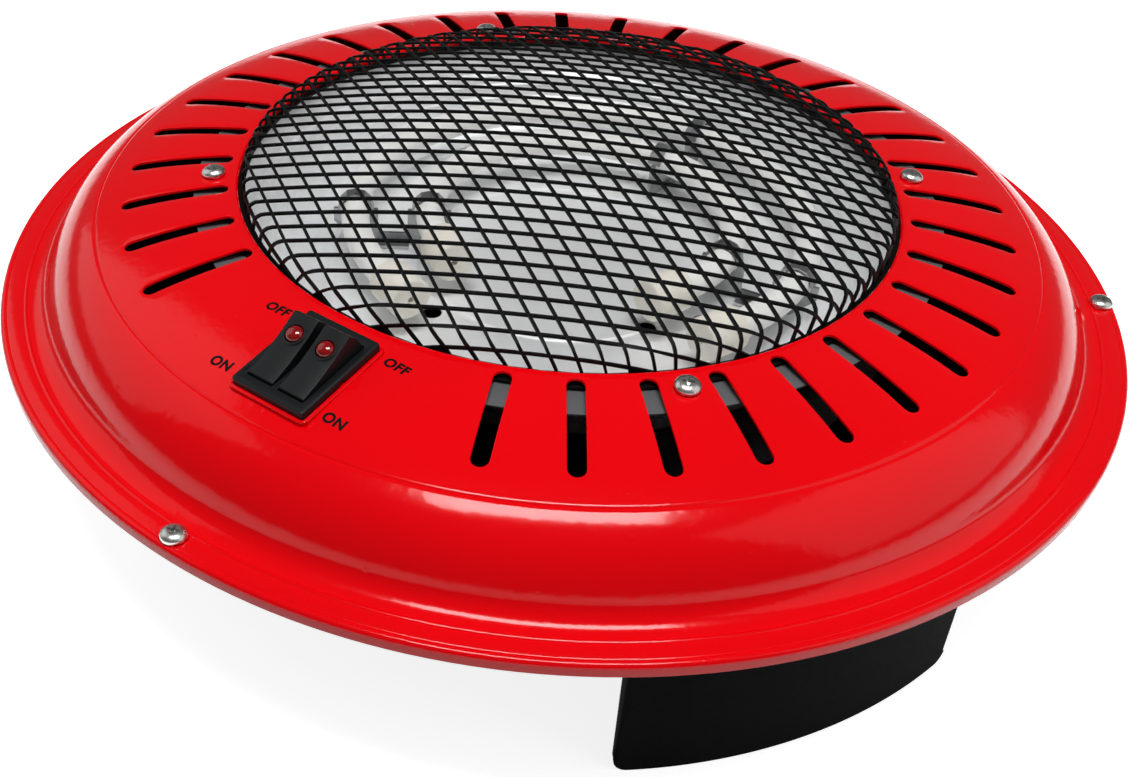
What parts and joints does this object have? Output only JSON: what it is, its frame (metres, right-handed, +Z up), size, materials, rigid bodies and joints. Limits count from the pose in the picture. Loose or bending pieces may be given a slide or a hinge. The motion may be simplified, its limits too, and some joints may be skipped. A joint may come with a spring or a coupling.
{
  "type": "electric brazier",
  "caption": "Round electric brazier with a slotted domed cover, a domed mesh guard over ring-shaped quartz tubes, a twin rocker switch and curved feet.",
  "frame": {"origin": "on the floor, under the middle of the round body", "axes": "+Z up; -Y towards the rocker switch; +X to the right as seen from the switch"},
  "size_m": [0.39, 0.39, 0.1157],
  "materials": {
    "red_enamel": "gloss enamel on pressed steel",
    "black_paint": "matt black paint on steel sheet",
    "guard_black": "satin black paint on expanded steel",
    "galvanised_steel": "zinc-coated sheet, plain",
    "polished_aluminium": "bright rolled reflector sheet",
    "frosted_quartz": "frosted white quartz glass",
    "resistance_wire": "resistance wire, oxidised",
    "cream_ceramic": "unglazed cream ceramic",
    "charcoal_plastic": "fine-grained moulded plastic",
    "white_plastic": "moulded plastic",
    "gland_black": "moulded plastic",
    "red_lens": "clear red plastic dome",
    "zinc_plate": "bright zinc-plated steel"
  },
  "bodies": {
    "brazier": {"top_cover": "red_enamel", "base_pan": "black_paint", "heat_shield": "galvanised_steel", "reflector": "polished_aluminium", "mesh_guard": "guard_black", "outer_quartz_tube": "frosted_quartz", "inner_quartz_tube": "frosted_quartz", "outer_heating_coil": "resistance_wire", "inner_heating_coil": "resistance_wire", "outer_end_cap_1": "cream_ceramic", "outer_end_cap_2": "cream_ceramic", "inner_end_cap_1": "cream_ceramic", "inner_end_cap_2": "cream_ceramic", "tube_bracket_1": "galvanised_steel", "tube_bracket_2": "galvanised_steel", "tube_bracket_3": "galvanised_steel", "inner_tube_clip_1": "galvanised_steel", "inner_tube_clip_2": "galvanised_steel", "inner_tube_clip_3": "galvanised_steel", "outer_tube_clip_1": "galvanised_steel", "outer_tube_clip_2": "galvanised_steel", "outer_tube_clip_3": "galvanised_steel", "switch_housing": "charcoal_plastic", "rocker_pin": "zinc_plate", "top_screw_1": "zinc_plate", "top_screw_2": "zinc_plate", "top_screw_3": "zinc_plate", "top_screw_4": "zinc_plate", "top_nut_1": "zinc_plate", "top_nut_2": "zinc_plate", "top_nut_3": "zinc_plate", "top_nut_4": "zinc_plate", "flange_screw_1": "zinc_plate", "flange_screw_2": "zinc_plate", "flange_screw_3": "zinc_plate", "flange_nut_1": "black_paint", "flange_nut_2": "black_paint", "flange_nut_3": "black_paint", "foot_1": "black_paint", "foot_2": "black_paint", "foot_3": "black_paint", "foot_rivet_1": "zinc_plate", "foot_rivet_2": "zinc_plate", "foot_rivet_3": "zinc_plate", "foot_rivet_4": "zinc_plate", "foot_rivet_5": "zinc_plate", "foot_rivet_6": "zinc_plate", "shield_spacer_1": "zinc_plate", "shield_spacer_2": "zinc_plate", "shield_spacer_3": "zinc_plate", "cord_gland": "gland_black", "terminal_block": "white_plastic", "thermal_cutout": "zinc_plate", "earth_screw": "zinc_plate"},
    "left_rocker": {"rocker_left": "charcoal_plastic", "lens_left": "red_lens"},
    "right_rocker": {"rocker_right": "charcoal_plastic", "lens_right": "red_lens"}
  },
  "joints": [
    {"name": "left_rocker_press", "type": "hinge", "parent": "brazier", "child": "left_rocker", "pos_m": [-0.0031, -0.13731, 0.09517], "axis": [-1, 0, 0], "range_deg": [0, 38]},
    {"name": "right_rocker_press", "type": "hinge", "parent": "brazier", "child": "right_rocker", "pos_m": [0.0085, -0.13731, 0.09517], "axis": [-1, 0, 0], "range_deg": [0, 38]}
  ]
}
